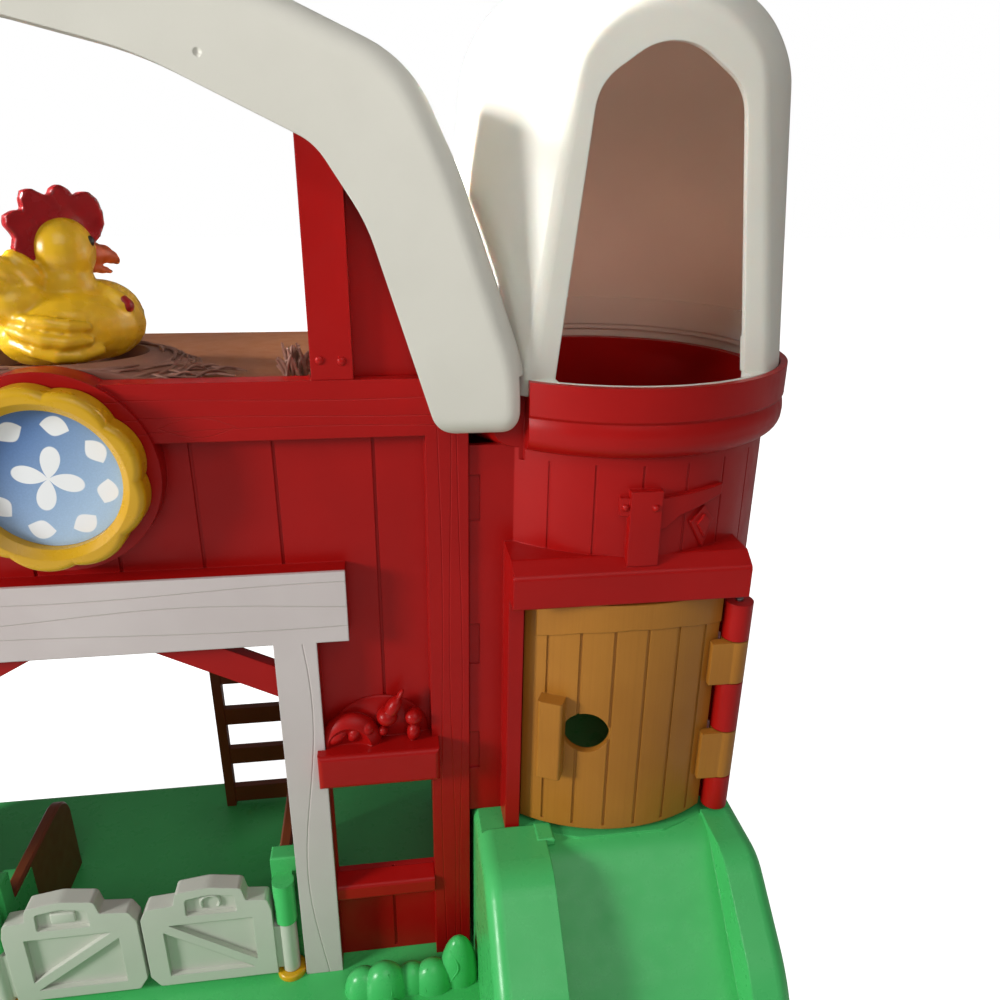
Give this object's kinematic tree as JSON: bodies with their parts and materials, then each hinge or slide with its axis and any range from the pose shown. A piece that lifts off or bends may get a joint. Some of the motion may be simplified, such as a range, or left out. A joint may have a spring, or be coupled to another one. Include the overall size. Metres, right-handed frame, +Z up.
{
  "type": "toy barn with opening doors",
  "caption": "Moulded toy barn playset: swinging half gates, turning dial, press-down hen, domed silo with a hinged curved door and a ramp.",
  "frame": {"origin": "middle of the base's underside, on the table", "axes": "+Z up, front (gates, dial, silo door) faces -Y, silo on the +X side"},
  "size_m": [0.486, 0.27, 0.467],
  "materials": {
    "green_abs": "moulded green plastic, semi-gloss",
    "red_abs": "moulded red plastic, semi-gloss",
    "white_trim": "white facing, satin",
    "white_abs": "moulded warm white plastic",
    "white_gate": "moulded white plastic",
    "yellow_ring": "moulded yellow plastic",
    "dial_print": null,
    "hen_yellow": "moulded yellow plastic",
    "hen_red": "red plastic",
    "hen_orange": "orange plastic",
    "brown_abs": "moulded brown plastic",
    "straw": "moulded straw, painted",
    "tan_abs": "moulded tan plastic",
    "steel": "zinc-plated steel"
  },
  "bodies": {
    "barn": {"base_tray": "green_abs", "doorway_trim": "white_trim", "front_wall": "red_abs", "gable_frame_left": "red_abs", "gable_frame_right": "red_abs", "gate_bush_left": "yellow_ring", "gate_bush_right": "yellow_ring", "gate_post_left": "green_abs", "gate_post_right": "green_abs", "hen_spring": "steel", "ladder": "brown_abs", "loft_floor": "brown_abs", "nest": "straw", "roof_arch": "white_abs", "roof_screws": "steel", "side_wall_left": "red_abs", "side_wall_right": "red_abs", "silo_body": "red_abs", "silo_door_pin": "steel", "silo_hood": "white_abs", "silo_ramp": "green_abs", "silo_screws": "steel", "stall_divider_left": "brown_abs", "stall_divider_right": "brown_abs", "wall_screws": "steel", "window_ledge_left": "red_abs", "window_ledge_right": "red_abs", "window_sill_left": "red_abs", "window_sill_right": "red_abs"},
    "silo_door": {"silo_door": "tan_abs"},
    "gate_left": {"gate_left": "white_gate"},
    "gate_right": {"gate_right": "white_gate"},
    "dial": {"dial_ring": "yellow_ring", "dial_picture": "dial_print", "dial_washer": "steel", "dial_screw": "steel"},
    "hen": {"hen_body": "hen_yellow", "hen_comb": "hen_red", "hen_beak": "hen_orange", "hen_screw": "steel", "hen_washer": "steel"}
  },
  "joints": [
    {"name": "silo_door_hinge", "type": "hinge", "parent": "barn", "child": "silo_door", "pos_m": [0.206, -0.023, 0.164], "axis": [0, 0, 1], "range_deg": [0, 110]},
    {"name": "gate_left_hinge", "type": "hinge", "parent": "barn", "child": "gate_left", "pos_m": [-0.1285, -0.011, 0.038], "axis": [0, 0, -1], "range_deg": [0, 100]},
    {"name": "gate_right_hinge", "type": "hinge", "parent": "barn", "child": "gate_right", "pos_m": [0.0025, -0.011, 0.038], "axis": [0, 0, 1], "range_deg": [0, 100]},
    {"name": "dial_spin", "type": "hinge", "parent": "barn", "child": "dial", "pos_m": [-0.063, -0.016, 0.281], "axis": [0, 1, 0], "continuous": true},
    {"name": "hen_press", "type": "slide", "parent": "barn", "child": "hen", "axis": [0, 0, -1], "range_m": [0, 0.004], "stiffness_N_per_m": 400, "springref_m": -0.002, "deforming": ["hen_spring"]}
  ]
}
